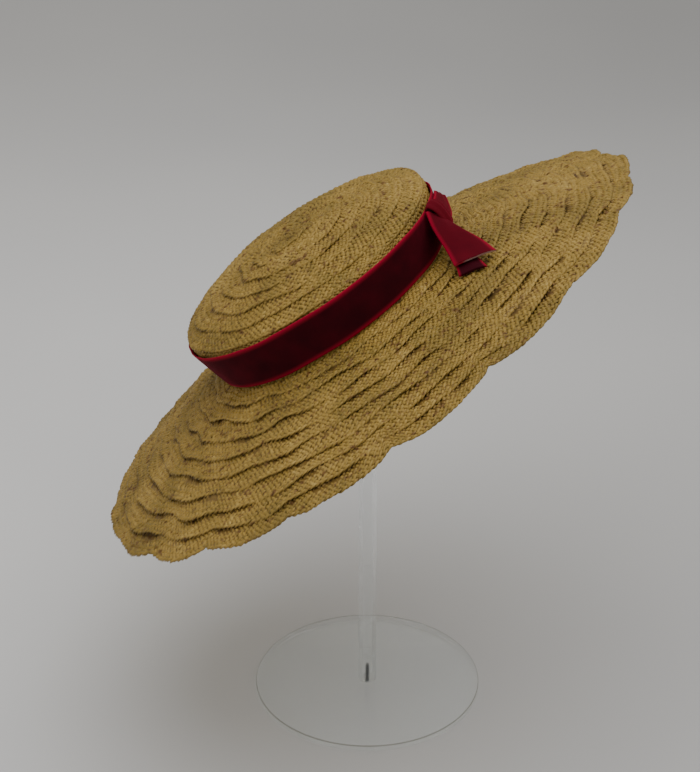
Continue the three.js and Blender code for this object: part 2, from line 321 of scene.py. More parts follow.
plait = {
    "strands": 9,  # an odd number
    "period": 34,  # way along in which a strand crosses and comes back
    "reach": 7.6,  # how far a strand's centre swings to each side
    "turnSharpness": 0.93,
    "weave": 0.5,  # how far a strand rises over and dips under the others
    "strandWidth": 2.8,
    "strandThickness": 1.3,
    "stepsPerPeriod": 32,
    "sectionSides": 4,
    "swell": 0.15,  # share by which a strand widens where it lies on top
    "coreWidth": 14,  # a flat straw that runs inside the plait and closes its holes
    "coreThickness": 0.3,
}
rowLay = {
    "tipRows": 7,
    "sideRows": 3,
    "brimRows": 9,
    "shingle": 0.12,  # rise of a row's outer edge over the next row, per mm across
    "shingleWave": 0.12,  # and how far that rise comes and goes
    "shingleWaveLength": 45,
    "tuckFrom": 3.5,  # way in from a row's middle to where its tucked side starts
    "tuckSoft": 4,  # and how far on until it is tucked in full
    "tuckRise": 9,
    "lowSideTilt": 0.08,  # share by which the tilt grows at the hat's low side
    "sway": 2.0,  # how far a row wanders sideways
    "swayLength": 65,
    "rowPitch": 13,  # what a row's own width is measured against where it sways
    "lift": 0.3,
    "liftLength": 90,
    "knobWave": 0.18,  # unevenness of each strand's thickness
    "knobLength": 6,
    "strandSway": 0.42,
    "strandSwayLength": 9,
    "strandForwardLength": 11,
    "strandLift": 0.22,
    "strandLiftLength": 8,
    "bed": -1.1,  # plait's middle below the hat's outer face
    "centreSqueeze": 0.8,  # width of the crown's innermost row
    # share of the usual tilt, and rise in mm
    "tipLay": (0.7, 0),
    "tipEdgeLay": (0.4, -0.3),
    "sideLay": (0.5, -0.6),
    "brimFootLay": (0.1, 0.7),
    "brimLay": (1, 0),
    # radii that the seams' waves are counted on
    "tipSeamRadius": 60,
    "brimSeamRadius": 142,
    "rowMiddle": 0.06,  # from a brim row's edge to its middle, as a share of the brim's width
    # the core's height sets how much painted crevice shade the core gets
    "coreHeight": -0.75,  # how deep the core reads in the straw's colour
    "seed": 5,
}
rowRandom = np.random.default_rng(rowLay["seed"])

# Brim rows from the crown outwards, joined into four pieces
brimPieces = [
    ("strawBrimInner", 0, 3),
    ("strawBrimMiddle", 3, 5),
    ("strawBrimOuter", 5, 7),
    ("strawBrimEdge", 7, 9),
]

strandPattern = makeTube(
    "strandPattern", plait["sectionSides"], plait["stepsPerPeriod"], plait["period"]
)


# The strands of one row and its core side by side: a new mesh, and the strand of each point
def layOut(periods):
    strands = plait["strands"]
    for name, count, step in (("along", periods, 1), ("beside", strands + 1, 1 / strands)):
        array = strandPattern.modifiers.new(name, "ARRAY")
        array.use_relative_offset = False
        array.use_constant_offset = True
        array.constant_offset_displace = (0, 0, plait["period"] * step)
        array.count = count
        array.use_merge_vertices = name == "along"
        array.merge_threshold = 0.001
    seen = strandPattern.evaluated_get(bpy.context.evaluated_depsgraph_get())
    mesh = bpy.data.meshes.new_from_object(seen)
    strandPattern.modifiers.clear()
    each = len(mesh.vertices) // (strands + 1)
    return mesh, np.arange(len(mesh.vertices)) // each


# A smooth random curve round a ring, about -1 to 1, with waves near the given length;
# a shift gives each strand a curve of its own
def makeWander(length, ringLength):
    waves = [
        (max(1, round(ringLength / length * factor)), size, rowRandom.uniform(0, 2 * math.pi), bend)
        for factor, size, bend in ((0.5, 0.45, 2.4), (1, 0.5, 4.1), (1.7, 0.3, 1.3))
    ]
    return lambda angle, shift=0: sum(
        size * np.sin(turns * angle + phase + shift * bend) for turns, size, phase, bend in waves
    )


def wander(angle, length, ringLength, shift=0):
    return makeWander(length, ringLength)(angle, shift)


# Height of a strand through one period, over and under the others by turns
def crossHeight(turn):
    count = plait["strands"]
    part = math.pi / count
    u = (turn + part) % (2 * math.pi) - part
    height = np.where(u < part, np.sin(count * u / 2), -np.cos(count * u))
    height = np.where(u > math.pi - part, np.sin(count * (u - math.pi) / 2), height)
    return np.where(u > math.pi + part, np.cos(count * u), height)


# One closed row of plait on a surface, out to its edge and tucked under the row inside it.
# The edge is a way down the surface and perMm the change of that way in 1 mm; squeeze is a
# share of the plait's width, tilted a share of the usual tilt, and raised is in mm.
def layRow(surface, edge, perMm, ringLength, seed, seams, squeeze=1, tilted=1, raised=0):
    p, lay = plait, rowLay
    periods = max(2, round(ringLength / p["period"]))
    mesh, strand = layOut(periods)
    across, thick, along = readPoints(mesh).T
    turn = 2 * math.pi * (along / p["period"] - strand / p["strands"])
    scale = math.asin(p["turnSharpness"])
    swing = np.arcsin(p["turnSharpness"] * np.cos(turn)) / scale
    slope = -p["reach"] * p["turnSharpness"] * np.sin(turn) / scale
    slope = slope / np.sqrt(1 - (p["turnSharpness"] * np.cos(turn)) ** 2) * 2 * math.pi / p["period"]
    height = crossHeight(turn)
    core = strand == p["strands"]
    for values in (swing, slope, height):
        values[core] = 0
    angle = 2 * math.pi * along / (periods * p["period"])
    knob = 1 + lay["knobWave"] * wander(angle, lay["knobLength"], ringLength, strand)
    half = p["strandWidth"] / 2 * (1 + p["swell"] * height) * knob
    lean = np.arctan(slope)
    inner, outer = seams[0](angle), seams[1](angle)
    width = (1 + (outer - inner) * lay["sway"] / lay["rowPitch"]) * squeeze
    half = np.where(core, p["coreWidth"] / 2 * width, half)
    stray = lay["strandSway"] * wander(angle, lay["strandSwayLength"], ringLength, strand)
    sideways = p["reach"] * swing * width + stray
    sideways = sideways + across * half * np.cos(lean)
    stray = lay["strandSway"] * wander(angle, lay["strandForwardLength"], ringLength, strand)
    forward = along - across * half * np.sin(lean) + stray
    thickness = np.where(core, p["coreThickness"], p["strandThickness"] * knob)
    rise = p["weave"] * height * knob + thick * thickness / 2
    rise = rise + lay["strandLift"] * wander(angle, lay["strandLiftLength"], ringLength, strand)
    tilt = lay["shingle"] * (1 - lay["lowSideTilt"] * np.cos(angle))
    tilt = (tilt + lay["shingleWave"] * wander(angle, lay["shingleWaveLength"], ringLength)) * tilted
    # the tucked side comes up against the row above it
    tucked = np.clip((-sideways / width - lay["tuckFrom"]) / lay["tuckSoft"], 0, 1)
    rise = rise + lay["tuckRise"] * np.clip(tilt, 0, None) * tucked + raised
    lifted = lay["lift"] * wander(angle, lay["liftLength"], ringLength)
    rise = rise + lay["bed"] + tilt * sideways + lifted
    sideways = sideways + (inner + outer) / 2 * lay["sway"]

    angle = 2 * math.pi * forward / (periods * p["period"])
    middle = edge - (p["reach"] + p["strandWidth"] / 2) * perMm * squeeze
    down = middle + sideways * perMm
    point = surface(down, angle)
    stepDown, stepRound = 0.3 * perMm, 0.002  # small steps that give the surface's slope
    outward = surface(down + stepDown, angle) - surface(down - stepDown, angle)
    around = surface(down, angle + stepRound) - surface(down, angle - stepRound)
    normal = np.cross(outward, around)
    normal /= np.linalg.norm(normal, axis=1)[:, None] + 1e-12
    writePoints(mesh, toWorld(point + normal * rise[:, None]))
    apart = 31.7  # mm that set one row's fibres apart from the next row's
    setAttribute(mesh, "strandSpace", np.stack([across, thick, along + seed * apart], -1))
    setAttribute(mesh, "strandSeed", seed * p["strands"] + strand)
    # height above the plait's middle, taken towards the face that the point is on; the straw's painted
    # crevice shade is read from it
    above = p["weave"] * height + thick * p["strandThickness"] / 2 + tilt * sideways
    facing = np.where(thick < -0.1, -above, above)
    setAttribute(mesh, "height", np.where(core, lay["coreHeight"], facing))
    return mesh


# The seams inside the first row, between the rows and outside the last, which stays straight
def makeSeams(count, ringLength):
    seams = [makeWander(rowLay["swayLength"], ringLength) for _ in range(count)]
    return [*seams, lambda angle: 0 * angle]


def joinRows(name, meshes, material):
    bm = bmesh.new()
    for mesh in meshes:
        bm.from_mesh(mesh)
        bpy.data.meshes.remove(mesh)
    ends = [v for v in bm.verts if v.is_boundary]
    bmesh.ops.remove_doubles(bm, verts=ends, dist=0.02 * mm)
    bmesh.ops.recalc_face_normals(bm, faces=bm.faces[:])
    piece = objectFrom(bm, name, [material])
    print(name, len(piece.data.polygons) * 2, "triangles")
    return piece


# Woven straw: split and plaited wheat straw. It gives the eye a matt gold with a faint gloss
# along its fibres, tones that change from strand to strand, and painted brown shade between them.

strawLook = {
    "pale": "#c6ab63",
    "gold": "#a5863e",
    "olive": "#87702f",
    "brown": "#6a431f",
    "rust": "#55290f",
    # painted shade: dark brown laid where the strands dip between the others
    "creviceShade": "#42200f",
    "patchMm": 45,  # faded patches, size of a palm
    "fleckMm": 3.2,  # about one strand across
    "spotMm": 5,  # rusty spots where the straw's nodes lie
    "toneShift": -0.205,  # lower is browner
    "driftStretch": (0.0, 0.0, 0.11),  # a strand's tone changes about every 9 mm along it
    "fibreStretch": (5.0, 3.0, 0.25),  # across, through and along a strand; real fibres are about
    # 0.1 mm wide and are drawn coarser to show
}


def strawMaterial():
    material, tree = newMaterial("wovenStraw")
    space = addNode(tree, "Attribute", {"attribute_name": "strandSpace"}).outputs["Vector"]
    seed = addNode(tree, "Attribute", {"attribute_name": "strandSeed"}).outputs["Fac"]
    height = addNode(tree, "Attribute", {"attribute_name": "height"}).outputs["Fac"]
    place = addNode(tree, "TexCoord").outputs["Object"]

    # broad patches of sun-faded and browner straw over the whole hat
    patch = addNode(tree, "TexNoise", links={
        "Vector": place, "Scale": 1000 / strawLook["patchMm"], "Detail": 2.0})
    fleck = addNode(tree, "TexNoise", links={
        "Vector": place, "Scale": 1000 / strawLook["fleckMm"], "Detail": 2.0})
    # each strand has its own tone that drifts along it
    drift = addNode(tree, "VectorMath", {"operation": "MULTIPLY"}, {0: space})
    drift.inputs[1].default_value = strawLook["driftStretch"]
    perStrand = addNode(tree, "TexNoise", {"noise_dimensions": "4D"}, {
        "Vector": drift.outputs["Vector"], "W": seed, "Scale": 1.0, "Detail": 1.0})
    # fibres run along the strand
    fibreSpace = addNode(tree, "VectorMath", {"operation": "MULTIPLY"}, {0: space})
    fibreSpace.inputs[1].default_value = strawLook["fibreStretch"]
    fibre = addNode(tree, "TexNoise", {"noise_dimensions": "4D"}, {
        "Vector": fibreSpace.outputs["Vector"], "W": seed, "Scale": 1.0, "Detail": 2.0})

    # the four patterns add up to one tone
    total = strawLook["toneShift"]
    for pattern, share in ((patch, 0.6), (perStrand, 0.55), (fibre, 0.4), (fleck, 0.3)):
        added = addNode(tree, "Math", {"operation": "MULTIPLY_ADD"}, {
            0: pattern.outputs["Fac"], 1: share, 2: total})
        total = added.outputs[0]
    # handling has browned the crown's centre, most within 6 mm of it and none past 24 mm
    away = addNode(tree, "VectorMath", {"operation": "DISTANCE"}, {0: place})
    away.inputs[1].default_value = toWorld(np.array([0, 0, crownShape["height"] + crownShape["dome"]]))
    strained = addNode(tree, "MapRange", {"interpolation_type": "SMOOTHSTEP"}, {
        "Value": away.outputs["Value"], "From Min": 0.006, "From Max": 0.024,
        "To Min": 0.4, "To Max": 0.245})
    worn = addNode(tree, "Math", {"operation": "SUBTRACT"}, {0: total, 1: strained.outputs["Result"]})
    tone = ramp(tree, worn.outputs[0], [
        (0.12, strawLook["brown"]), (0.36, strawLook["olive"]),
        (0.56, strawLook["gold"]), (0.82, strawLook["pale"])])
    spots = addNode(tree, "TexNoise", links={
        "Vector": place, "Scale": 1000 / strawLook["spotMm"], "Detail": 1.0})
    rusty = addNode(tree, "MapRange", links={
        "Value": spots.outputs["Fac"], "From Min": 0.6, "From Max": 0.74,
        "To Min": 0.0, "To Max": 0.75})
    spotted = addNode(tree, "Mix", {"data_type": "RGBA"}, {"Factor": rusty.outputs["Result"]})
    tree.links.new(tone, spotted.inputs[6])
    spotted.inputs[7].default_value = toLinear(strawLook["rust"])
    # in mm from the plait's middle: painted shade, darker brown the lower a point lies between the
    # strands
    depth = addNode(tree, "MapRange", links={"Value": height, "From Min": -1.8, "From Max": 0.45})
    colour = addNode(tree, "Mix", {"data_type": "RGBA"}, {"Factor": depth.outputs["Result"]})
    colour.inputs[6].default_value = toLinear(strawLook["creviceShade"])
    tree.links.new(spotted.outputs[2], colour.inputs[7])

    shine = addNode(tree, "MapRange", links={
        "Value": fibre.outputs["Fac"], "To Min": 0.38, "To Max": 0.62})
    bump = addNode(tree, "Bump", links={
        "Height": fibre.outputs["Fac"], "Strength": 0.5, "Distance": 0.0004})
    shader = addNode(tree, "BsdfPrincipled", links={
        "Base Color": colour.outputs[2], "Roughness": shine.outputs["Result"],
        "Normal": bump.outputs["Normal"], "IOR": 1.48, "Specular IOR Level": 0.4})
    finishMaterial(tree, shader)
    return material


straw = strawMaterial()


def makeStraw():
    c, b, lay = crownShape, brimShape, rowLay
    pieces = []
    crownLength = 2 * math.pi * c["meanRadius"]

    # Each row's seed sets its fibres apart: from 0 on the tip, 10 on the side and 20 on the brim
    seams = makeSeams(lay["tipRows"], 2 * math.pi * lay["tipSeamRadius"])
    pitch = c["rimAlong"] / lay["tipRows"]
    tip = []
    for i in range(lay["tipRows"]):
        ringLength = 2 * math.pi * c["ovalShare"] * pitch * (i + 0.5)
        squeeze = lay["centreSqueeze"] if i == 0 else 1
        tilted, raised = lay["tipEdgeLay"] if i + 1 == lay["tipRows"] else lay["tipLay"]
        tip.append(layRow(
            crownPoint, pitch * (i + 1), 1, ringLength, i, seams[i : i + 2], squeeze, tilted, raised
        ))
    pieces.append(joinRows("strawTip", tip, straw))

    seams = makeSeams(lay["sideRows"], crownLength)
    tilted, raised = lay["sideLay"]
    side = []
    for i in range(lay["sideRows"]):
        edge = c["rimAlong"] + (c["height"] + 1) * (i + 1) / lay["sideRows"]  # 1 mm past the foot
        side.append(layRow(
            crownPoint, edge, 1, crownLength, 10 + i, seams[i : i + 2], 1, tilted, raised
        ))
    pieces.append(joinRows("strawSide", side, straw))

    seams = makeSeams(lay["brimRows"], 2 * math.pi * lay["brimSeamRadius"])
    width = b["edgeAlong"] - c["footAlong"]
    for name, first, last in brimPieces:
        rows = []
        for i in range(first, last):
            edge = (i + 1) / lay["brimRows"]
            ringLength = 2 * math.pi * (c["footAlong"] + width * (edge - lay["rowMiddle"]))
            tilted, raised = lay["brimFootLay"] if i == 0 else lay["brimLay"]
            rows.append(layRow(
                brimPoint, edge, 1 / width, ringLength, 20 + i, seams[i : i + 2], 1, tilted, raised
            ))
        pieces.append(joinRows(name, rows, straw))

    bpy.data.objects.remove(strandPattern)
    nodes = {"strawTip": "crown_tip", "strawSide": "crown_side"}
    for piece in pieces:
        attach(piece, "root")
        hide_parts(nodes.get(piece.name, "brim"))


makeStraw()
print("straw laid")


# Velvet ribbon

ribbon = {
    "width": 28,
    "tableUnit": 30,  # what 1 stands for in the tables below
    "thickness": 1.2,
    "bandFoot": 2.2,  # height of its low edge above the crown's foot
    "seat": 0.3,  # gap between the crown's side and the band
    "bandSteps": 260,
    "sides": 44,  # of the tube that each strip is pressed flat from
    "bandBulge": 0.45,  # how far its middle stands off the crown, more or less each bulgeLength
    "bulgeLength": 50,
    "bandEdgeWave": 0.3,  # how far its top edge stands off
    "edgeWaveLength": 24,
    "bandSideWave": 0.35,  # how far its edges wander up and down
    "sideWaveLength": 70,
    "knotAtDeg": -6.5,
    "knotLength": 13,
    "knotFlatLength": 32,
    "knotSteps": 40,
    "knotFolds": ((1, 0.8, 0.8, 0), (4, 0.2, 0.2, 0.5)),
    "knotPaintedLight": 0.5,
    "knotSelvedgeHighlight": 0.5,  # its edges are folded under, so their bright line is left out
}
ribbonLook = {
    # face and deep: the pile's lit and shaded tones; the tone between them comes from random crushed
    # patches and each piece's painted light
    "face": "#6c0418",
    "deep": "#32020d",
    # edge: a satin selvedge, made brighter crimson with a painted highlight where the curled edge
    # catches the light
    "edge": "#9a0f2c",
    "sheen": "#c02248",
    "cut": "#b89a94",
    "pileMm": 0.35,  # real pile is finer, about 0.1 mm, and is drawn coarser to show
    "crushMm": 16,  # patches where the pile is stroked one way
    "threadMm": 0.4,  # backing threads at the cut edge
}

# Ribbon's top and low edge: degrees round the crown, then out from the band and up from
# the brim in table units
upperTailRows = [
    (-12, 0.03, 1.04, -7, 0.34, 0.5),
    (-16.5, 0.2, 0.75, -11.8, 0.78, 0.44),
    (-22, 0.55, 0.41, -15, 1.17, 0.3),
    (-27, 0.88, 0.22, -18.8, 1.57, 0.17),
]
lowerTailRows = [
    (-10, 0.06, 0.64, -9.8, 0.3, 0.34),
    (-17, 0.34, 0.4, -13, 0.62, 0.23),
    (-22.5, 0.68, 0.19, -18.5, 1.04, 0.12),
    (-29, 1.03, 0.07, -24, 1.52, 0.07),
]
farLoopRows = [
    (-3, 0.05, 1, -2, 0.27, 0.45),
    (4, 0.05, 1, 10, 0.22, 0.37),
    (11, 0.045, 0.97, 19, 0.22, 0.38),
    (17, 0.04, 0.89, 27, 0.26, 0.53),
    (18, 0.025, 0.88, 27.5, 0.21, 0.54),
    (14, 0.02, 0.95, 22, 0.13, 0.44),
    (6, 0.02, 0.98, 11, 0.1, 0.4),
    (-3, 0.02, 0.98, -3, 0.14, 0.48),
]
# The knot's wrap, out and up in table units, from under the band's top edge down to its foot
knotWrap = [
    (0.02, 1.05), (0.1, 1.08), (0.23, 0.93), (0.32, 0.66), (0.33, 0.48), (0.22, 0.37), (0.02, 0.38),
]

# name, frame node, rows, steps along, flat length, folds, how it is held, what it rests on, painted
# light (0 painted as shaded, 1 as lit)
bowParts = [
    ("velvetUpperTail", "bow_upper_tail", upperTailRows, 40, 34,
     ((1, 2.4, 1.2, 0), (3, 0.5, 0.2, 0.4), (5, 0.35, 0.0, 1)), "gathered", "strawBrimInner", 0.35),
    # the lower tail's painted light is below 0: a painted shadow of the upper tail over it
    ("velvetLowerTail", "bow_lower_tail", lowerTailRows, 40, 29,
     ((3, 0.8, 0.15, 2), (1, 0.4, 0.7, 0)), "laid", "strawBrimInner", -0.1),
    ("velvetFarLoop", "bow_far_loop", farLoopRows, 90, 54,
     ((3, 0.45, 0.35, 0), (1, 0.5, 0.5, 0)), "folded", "velvetBand", 0.42),
]


def bandFace(height, angle, off):
    c, seat = crownShape, ribbon["seat"]
    share = (height - seat) / (rimHeight(angle) - seat)
    along = c["footAlong"] + (c["rimAlong"] - c["footAlong"]) * share + seat + off
    across = c["footAcross"] + (c["rimAcross"] - c["footAcross"]) * share + seat + off
    return along, across


# A point outside the band, from the ribbon tables' units
def ribbonPoint(at, out, up):
    c, b, r = crownShape, brimShape, ribbon
    angle = np.radians(np.asarray(at, float))
    out, up = np.asarray(out, float), np.asarray(up, float)
    unit = r["tableUnit"]
    along, across = bandFace(up * unit, angle, r["thickness"] + out * unit)
    away = np.hypot(along * np.cos(angle), across * np.sin(angle))
    foot = np.hypot(c["footAlong"] * np.cos(angle), c["footAcross"] * np.sin(angle))
    edge = np.hypot(b["edgeAlong"] * np.cos(angle), b["edgeAcross"] * np.sin(angle))
    share = np.clip((away - foot) / (edge - foot), 0, None)
    return ovalPoint(along, across, angle, up * unit - brimDroop(share, angle))


# A smooth curve through the points, at ways from 0 to 1
def throughPoints(points, way):
    points = np.asarray(points)
    padded = np.concatenate([[2 * points[0] - points[1]], points, [2 * points[-1] - points[-2]]])
    place = np.clip(way, 0, 1) * (len(points) - 1)
    index = np.minimum(place.astype(int), len(points) - 2)
    t = (place - index)[:, None]
    a, b, c, d = (padded[index + k] for k in range(4))
    return b + 0.5 * t * (c - a + t * (2 * a - 5 * b + 4 * c - d + t * (3 * (b - c) + d - a)))


# Turns the tube's circle into the section of a ribbon: across from -1 to 1, and its two faces
def flatSection(mesh):
    x, y, way = readPoints(mesh).T
    phi = np.arctan2(y, x)
    across = 0.5 * np.cos(phi) + 0.5 * (1 - 2 * np.abs(phi) / math.pi)
    squareness = 14  # higher gives the ribbon's edges less roundness
    face = np.sign(y) * np.sqrt(np.clip(1 - np.abs(across) ** squareness, 0, 1)) * (np.abs(y) > 1e-6)
    return across, face, way


# pile is painted light for the whole piece: 0 paints it as shaded, 1 as lit
def finishRibbon(tube, points, across, pile, capped, capMaterial=0):
    writePoints(tube.data, toWorld(points))
    setAttribute(tube.data, "ribbonAcross", across)
    setAttribute(tube.data, "paintedPieceLight", pile + 0 * across)
    bm = bmesh.new()
    bm.from_mesh(tube.data)
    ends = [edge for edge in bm.edges if edge.is_boundary]
    if capped:
        for face in bmesh.ops.holes_fill(bm, edges=ends, sides=0)["faces"]:
            face.material_index = capMaterial
            face.smooth = False
    else:
        bmesh.ops.remove_doubles(bm, verts=[v for v in bm.verts if v.is_boundary], dist=0.02 * mm)
    bmesh.ops.recalc_face_normals(bm, faces=bm.faces[:])
    bm.to_mesh(tube.data)
    bm.free()
    for material in (velvet, cutEdge):
        tube.data.materials.append(material)
    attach(tube, "root")


def makeBand():
    r = ribbon
    tube = makeTube("velvetBand", r["sides"], r["bandSteps"], 1)
    across, face, way = flatSection(tube.data)
    angle = way * 2 * math.pi
    size = 2 * math.pi * crownShape["meanRadius"]
    middle = r["bandFoot"] + r["width"] / 2
    sideWave = r["bandSideWave"] * np.abs(across) * wander(angle, r["sideWaveLength"], size)
    height = middle + across * r["width"] / 2 + sideWave
    bulge = 0.6 + 0.4 * wander(angle, r["bulgeLength"], size)
    edgeWave = 1 + wander(angle, r["edgeWaveLength"], size)
    off = r["thickness"] / 2 + face * r["thickness"] / 2
    off = off + r["bandBulge"] * bulge * (1 - across**2)
    off = off + r["bandEdgeWave"] * edgeWave * np.clip(across, 0, 1) ** 3
    along, acrossWay = bandFace(height, angle, off)
    finishRibbon(tube, ovalPoint(along, acrossWay, angle, height), across, 0, False)
    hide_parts("hat_band")


# A strip between two edges; folds are (count, depth at the start, depth at the end, phase)
# selvedge shrinks the ribbon's across value, and with it the painted edge highlight
def layRibbon(name, topPoints, lowPoints, steps, folds, pile, selvedgeHighlight=1, capMaterial=0):
    r = ribbon
    tube = makeTube(name, r["sides"], steps, 1)
    across, face, way = flatSection(tube.data)
    top, low = throughPoints(topPoints, way), throughPoints(lowPoints, way)
    ahead = throughPoints(topPoints, way + 0.01) - throughPoints(topPoints, way - 0.01)
    ahead += throughPoints(lowPoints, way + 0.01) - throughPoints(lowPoints, way - 0.01)
    normal = np.cross(ahead, low - top)
    normal /= np.linalg.norm(normal, axis=1)[:, None]
    share = (across + 1) / 2
    depth = 0 * way
    for count, first, last, phase in folds:
        depth = depth + (first + (last - first) * way) * np.sin(count * math.pi * share + phase)
    points = top + (low - top) * share[:, None] + normal * (depth + face * r["thickness"] / 2)[:, None]
    finishRibbon(tube, points, across * selvedgeHighlight, pile, True, capMaterial)
    return tube


def makeBow():
    r = ribbon
    for name, node, rows, steps, length, folds, held, lowest, pile in bowParts:
        top = ribbonPoint(*np.array([row[:3] for row in rows]).T)
        low = ribbonPoint(*np.array([row[3:] for row in rows]).T)
        cap = 1 if node == "bow_upper_tail" else 0
        tail = layRibbon(name, top, low, steps, folds, pile, capMaterial=cap)
        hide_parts(node)
    half = math.degrees(r["knotLength"] / 2 / crownShape["rimAlong"])
    out, up = np.array(knotWrap).T
    near = ribbonPoint(r["knotAtDeg"] - half + 0 * out, out, up)
    far = ribbonPoint(r["knotAtDeg"] + half + 0 * out, out, up)
    knot = layRibbon(
        "velvetKnot", near, far, r["knotSteps"], r["knotFolds"], r["knotPaintedLight"], r["knotSelvedgeHighlight"]
    )
    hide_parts("bow_knot")


# Crimson velvet: a dense cut pile that is almost black where it is seen end on, with a satin selvedge
# and a painted highlight at its edges; each piece gets painted light that makes lit pieces crimson and
# shaded ones near black
def velvetMaterial():
    material, tree = newMaterial("crimsonVelvet")
    place = addNode(tree, "TexCoord").outputs["Object"]
    across = addNode(tree, "Attribute", {"attribute_name": "ribbonAcross"}).outputs["Fac"]
    toEdge = addNode(tree, "Math", {"operation": "ABSOLUTE"}, {0: across})
    crush = addNode(tree, "TexNoise", links={
        "Vector": place, "Scale": 1000 / ribbonLook["crushMm"], "Detail": 3.0})
    pile = addNode(tree, "TexNoise", links={
        "Vector": place, "Scale": 1000 / ribbonLook["pileMm"], "Detail": 2.0})
    # painted light for the whole piece: lit pieces crimson, shaded pieces near black
    paintedLight = addNode(tree, "Attribute", {"attribute_name": "paintedPieceLight"}).outputs["Fac"]
    stroked = addNode(tree, "Math", {"operation": "MULTIPLY_ADD"}, {
        0: crush.outputs["Fac"], 1: 0.35, 2: paintedLight})
    tone = ramp(tree, stroked.outputs[0], [(0.1, ribbonLook["deep"]), (1.0, ribbonLook["face"])])
    # satin selvedge with a painted highlight near both edges
    selvedgeHighlight = addNode(tree, "MapRange", {"interpolation_type": "SMOOTHSTEP"}, {
        "Value": toEdge.outputs[0], "From Min": 0.72, "From Max": 1.0})
    colour = addNode(tree, "Mix", {"data_type": "RGBA"}, {"Factor": selvedgeHighlight.outputs["Result"]})
    tree.links.new(tone, colour.inputs[6])
    colour.inputs[7].default_value = toLinear(ribbonLook["edge"])
    nap = addNode(tree, "MapRange", links={
        "Value": crush.outputs["Fac"], "From Min": 0.3, "From Max": 0.7, "To Min": 0.32, "To Max": 0.5})
    bump = addNode(tree, "Bump", links={
        "Height": pile.outputs["Fac"], "Strength": 0.6, "Distance": 0.0002})
    shader = addNode(tree, "BsdfPrincipled", links={
        "Base Color": colour.outputs[2], "Roughness": 0.85, "Specular IOR Level": 0.1,
        "Sheen Weight": 0.4, "Sheen Roughness": nap.outputs["Result"],
        "Normal": bump.outputs["Normal"]})
    shader.inputs["Sheen Tint"].default_value = toLinear(ribbonLook["sheen"])
    finishMaterial(tree, shader)
    return material


# Cut ribbon edge: bare backing threads with no pile, a matt pale pink line
def cutEdgeMaterial():
    material, tree = newMaterial("cutRibbonEdge")
    place = addNode(tree, "TexCoord").outputs["Object"]
    across = addNode(tree, "Attribute", {"attribute_name": "ribbonAcross"}).outputs["Fac"]
    threads = addNode(tree, "TexNoise", links={
        "Vector": place, "Scale": 1000 / ribbonLook["threadMm"], "Detail": 1.0})
    tone = ramp(tree, threads.outputs["Fac"], [(0.35, "#8a5f5f"), (0.65, ribbonLook["cut"])])
    curled = addNode(tree, "MapRange", links={"Value": across, "From Min": -0.6, "From Max": -0.4})
    colour = addNode(tree, "Mix", {"data_type": "RGBA"}, {"Factor": curled.outputs["Result"]})
    colour.inputs[6].default_value = toLinear(ribbonLook["edge"])
    tree.links.new(tone, colour.inputs[7])
    finishMaterial(tree, addNode(tree, "BsdfPrincipled", links={
        "Base Color": colour.outputs[2], "Roughness": 0.8}))
    return material


velvet = velvetMaterial()
cutEdge = cutEdgeMaterial()
makeBand()
makeBow()
print("ribbon laid")


# Clear stand

stand = {
    "baseRadius": 76.2,
    "baseThickness": 5,
    "edgeRound": 1.1,
    "rodRound": 0.2,
    "plateRound": 0.4,
    "studRound": 0.3,
    "rodRadius": 6,
    "studRadius": 1.1,
    "studInRod": 12,
    "studInBase": 2.5,
    "plateRadius": 27,
    "plateThickness": 4,
    "plateHeight": 364.1,
    "seatAlong": 55,  # where the plate meets the tip, in the hat's own frame
    "seatAcross": 5.2,
    "seam": 0.05,  # thin gap that keeps two clear faces apart
}
standLook = {
    "tint": "#fdfefe",
    "rim": "#c9c9c1",
    "clearness": 0.78,  # share of the light that goes straight through
    "hazeMm": 33.333,  # faint waviness of the polish
    "steel": "#6e6f70",
    "ringMm": 0.5236,  # real rings of about 0.1 mm are too fine to show
}


def innerTip(along, across):
    c = crownShape
    x, y = along / (c["rimAlong"] - c["wall"]), across / (c["rimAcross"] - c["wall"])
    share = math.hypot(x, y)
    return c["height"] + c["rise"] * y + c["dome"] * (1 - share ** c["domePower"])


# The way the plate faces, which is square to the tip over it
def seatNormal():
    s = stand
    x, y, reach = s["seatAlong"], s["seatAcross"], s["plateRadius"]
    slopeAlong = (innerTip(x + reach, y) - innerTip(x - reach, y)) / (2 * reach)
    slopeAcross = (innerTip(x, y + reach) - innerTip(x, y - reach)) / (2 * reach)
    local = np.array([-slopeAlong, -slopeAcross, 1])
    return Vector(hatToWorld[:3, :3] @ local).normalized()


# An upright round bar with rounded ends
def roundBar(radius, low, high, rounding):
    bm = bmesh.new()
    bmesh.ops.create_cone(
        bm, cap_ends=True, segments=128, radius1=radius, radius2=radius, depth=high - low
    )
    bmesh.ops.translate(bm, verts=bm.verts[:], vec=(0, 0, (low + high) / 2))
    rims = [edge for edge in bm.edges if abs(edge.verts[0].co.z - edge.verts[1].co.z) < 0.01]
    bmesh.ops.bevel(
        bm, geom=rims, offset=rounding, segments=3, profile=0.5, affect="EDGES", material=-1
    )
    for face in bm.faces:
        face.smooth = True
    return bm


def finishStand(bm, name, materials, node):
    bmesh.ops.scale(bm, verts=bm.verts[:], vec=(mm, mm, mm))
    piece = objectFrom(bm, name, materials)
    piece.data.set_sharp_from_angle(angle=math.radians(40))
    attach(piece, "root")
    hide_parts(node)


